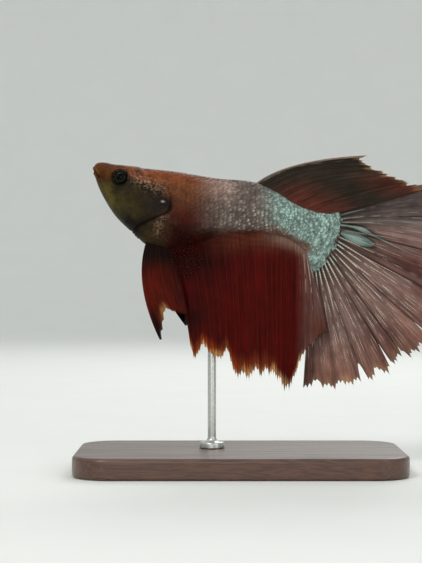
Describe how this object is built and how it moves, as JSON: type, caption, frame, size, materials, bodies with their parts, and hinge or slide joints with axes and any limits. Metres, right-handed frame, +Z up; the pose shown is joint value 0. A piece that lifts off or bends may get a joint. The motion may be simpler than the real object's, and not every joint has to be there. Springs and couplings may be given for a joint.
{
  "type": "betta fish model on a display stand",
  "caption": "Life-size model of a male Siamese fighting fish with flowing ragged fins, held by an upright rod over a flat base.",
  "frame": {"origin": "middle of the underside of the display stand's base", "axes": "+Z up; the fish's head points along -X and its left side faces -Y"},
  "size_m": [0.0761, 0.034, 0.0599],
  "materials": {
    "skin": "moist fish skin, red-brown turning silvery turquoise towards the tail, satin",
    "scales": "small overlapping scales with a pearly silver and turquoise sheen",
    "fins": "thin rayed membrane, deep red, worn at its edge, satin",
    "eyes": "glossy dark eye",
    "stand_wood": "dark stained wood, satin varnish",
    "stand_steel": "turned and brushed"
  },
  "bodies": {
    "root": {"head": "skin", "jaw_lower": "skin", "gill_cover_left": "skin", "gill_cover_right": "skin", "trunk": "skin", "tail_stalk": "skin", "eye_left": "eyes", "eye_right": "eyes", "fin_dorsal": "fins", "fin_caudal": "fins", "fin_anal": "fins", "fin_pelvic_left": "fins", "fin_pelvic_right": "fins", "fin_pectoral_left": "fins", "fin_pectoral_right": "fins", "stand_base": "stand_wood", "stand_rod": "stand_steel"}
  },
  "joints": []
}
